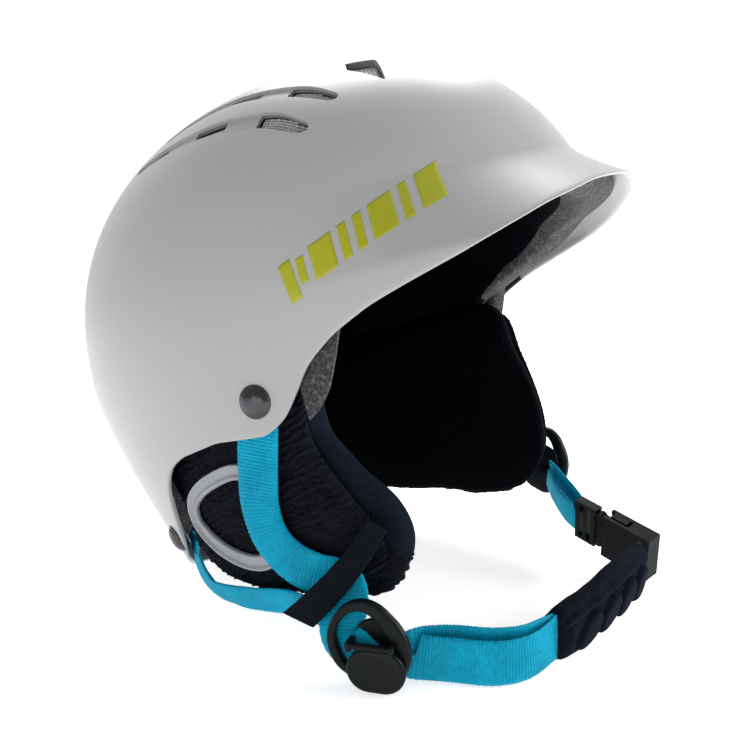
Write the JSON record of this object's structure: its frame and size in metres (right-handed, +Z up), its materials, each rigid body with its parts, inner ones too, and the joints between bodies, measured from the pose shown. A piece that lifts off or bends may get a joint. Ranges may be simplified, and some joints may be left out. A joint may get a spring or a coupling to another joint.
{
  "type": "water sports helmet",
  "caption": "White hard-shell sports helmet with a short integral peak, slotted vents, black ear flaps and a blue webbing chin strap with side dividers and a side-release buckle.",
  "frame": {"origin": "middle of the small flat under the nape edge of the shell, on the table the helmet stands on", "axes": "+Z up from the table, -Y towards the wearer's front, +X towards the wearer's left; the helmet stands nose-up by 17 degrees"},
  "size_m": [0.2141, 0.2971, 0.2555],
  "materials": {
    "shell_white": "pearl white, satin gloss",
    "foam_grey": "dark grey beaded foam",
    "vent_mesh": "fine woven mesh",
    "rivet_metal": "dark polished metal",
    "plain_steel": "plain steel",
    "lining_fabric": "brushed black lining",
    "ear_fabric": "black crinkle fabric",
    "cushion_fabric": "slate grey plush",
    "ring_grey": "raised grey print",
    "elastic_black": "black elastic",
    "webbing_blue": "cyan-blue ribbed webbing",
    "divider_black": "black moulded plastic",
    "sleeve_fabric": "near-black padded sleeve",
    "buckle_black": "black moulded plastic"
  },
  "bodies": {
    "helmet": {"outer_shell": "shell_white", "foam_liner": "foam_grey", "vent_mesh_right": "vent_mesh", "vent_mesh_left": "vent_mesh", "vent_mesh_front": "vent_mesh", "side_rivet_right": "rivet_metal", "side_rivet_left": "rivet_metal", "rear_rivet_right": "rivet_metal", "rear_rivet_left": "rivet_metal", "rivet_washers": "plain_steel", "brow_pad": "lining_fabric", "crown_pad": "lining_fabric", "side_pad_right": "lining_fabric", "side_pad_left": "lining_fabric", "nape_pad": "lining_fabric", "ear_pad_right": "ear_fabric", "ear_pad_left": "ear_fabric", "ear_cushion_right": "cushion_fabric", "ear_cushion_left": "cushion_fabric", "ear_ring_right": "ring_grey", "ear_ring_left": "ring_grey", "strap_keeper_right": "elastic_black", "strap_keeper_left": "elastic_black", "front_webbing_right": "webbing_blue", "front_webbing_left": "webbing_blue", "rear_webbing_right": "webbing_blue", "rear_webbing_left": "webbing_blue", "divider_right": "divider_black", "divider_left": "divider_black", "lever_pin_right": "plain_steel", "lever_pin_left": "plain_steel"},
    "chin_strap": {"chin_webbing_right": "webbing_blue", "chin_pad": "sleeve_fabric", "buckle_socket": "buckle_black", "chin_webbing_left": "webbing_blue"},
    "buckle_tongue_body": {"buckle_tongue": "buckle_black"},
    "prong_upper_body": {"prong_upper": "buckle_black"},
    "prong_lower_body": {"prong_lower": "buckle_black"},
    "right_lever": {"lock_lever_right": "divider_black"},
    "left_lever": {"lock_lever_left": "divider_black"}
  },
  "joints": [
    {"name": "chin_strap_swing", "type": "hinge", "parent": "helmet", "child": "chin_strap", "pos_m": [-0.097, -0.141, 0.012], "axis": [0.9902, -0.0351, 0.1354], "range_deg": [-20, 35]},
    {"name": "buckle_release", "type": "slide", "parent": "chin_strap", "child": "buckle_tongue_body", "axis": [0.375, 0.9053, 0.1994], "range_m": [0, 0.022], "deforming": ["chin_webbing_left"]},
    {"name": "prong_upper_pinch", "type": "hinge", "parent": "buckle_tongue_body", "child": "prong_upper_body", "pos_m": [0.05537, -0.19351, 0.03148], "axis": [0.8727, -0.4173, 0.2536], "range_deg": [0, 5], "stiffness_Nm_per_rad": 0.3},
    {"name": "prong_lower_pinch", "type": "hinge", "parent": "buckle_tongue_body", "child": "prong_lower_body", "pos_m": [0.06038, -0.19225, 0.01634], "axis": [0.8727, -0.4173, 0.2536], "range_deg": [-5, 0], "stiffness_Nm_per_rad": 0.3},
    {"name": "right_lever_lift", "type": "hinge", "parent": "helmet", "child": "right_lever", "pos_m": [-0.10361, -0.14287, 0.0188], "axis": [-0.2079, 0.9781, 0], "range_deg": [0, 75]},
    {"name": "left_lever_lift", "type": "hinge", "parent": "helmet", "child": "left_lever", "pos_m": [0.10193, -0.15072, 0.04566], "axis": [-0.1977, -0.9303, -0.309], "range_deg": [0, 75]}
  ]
}
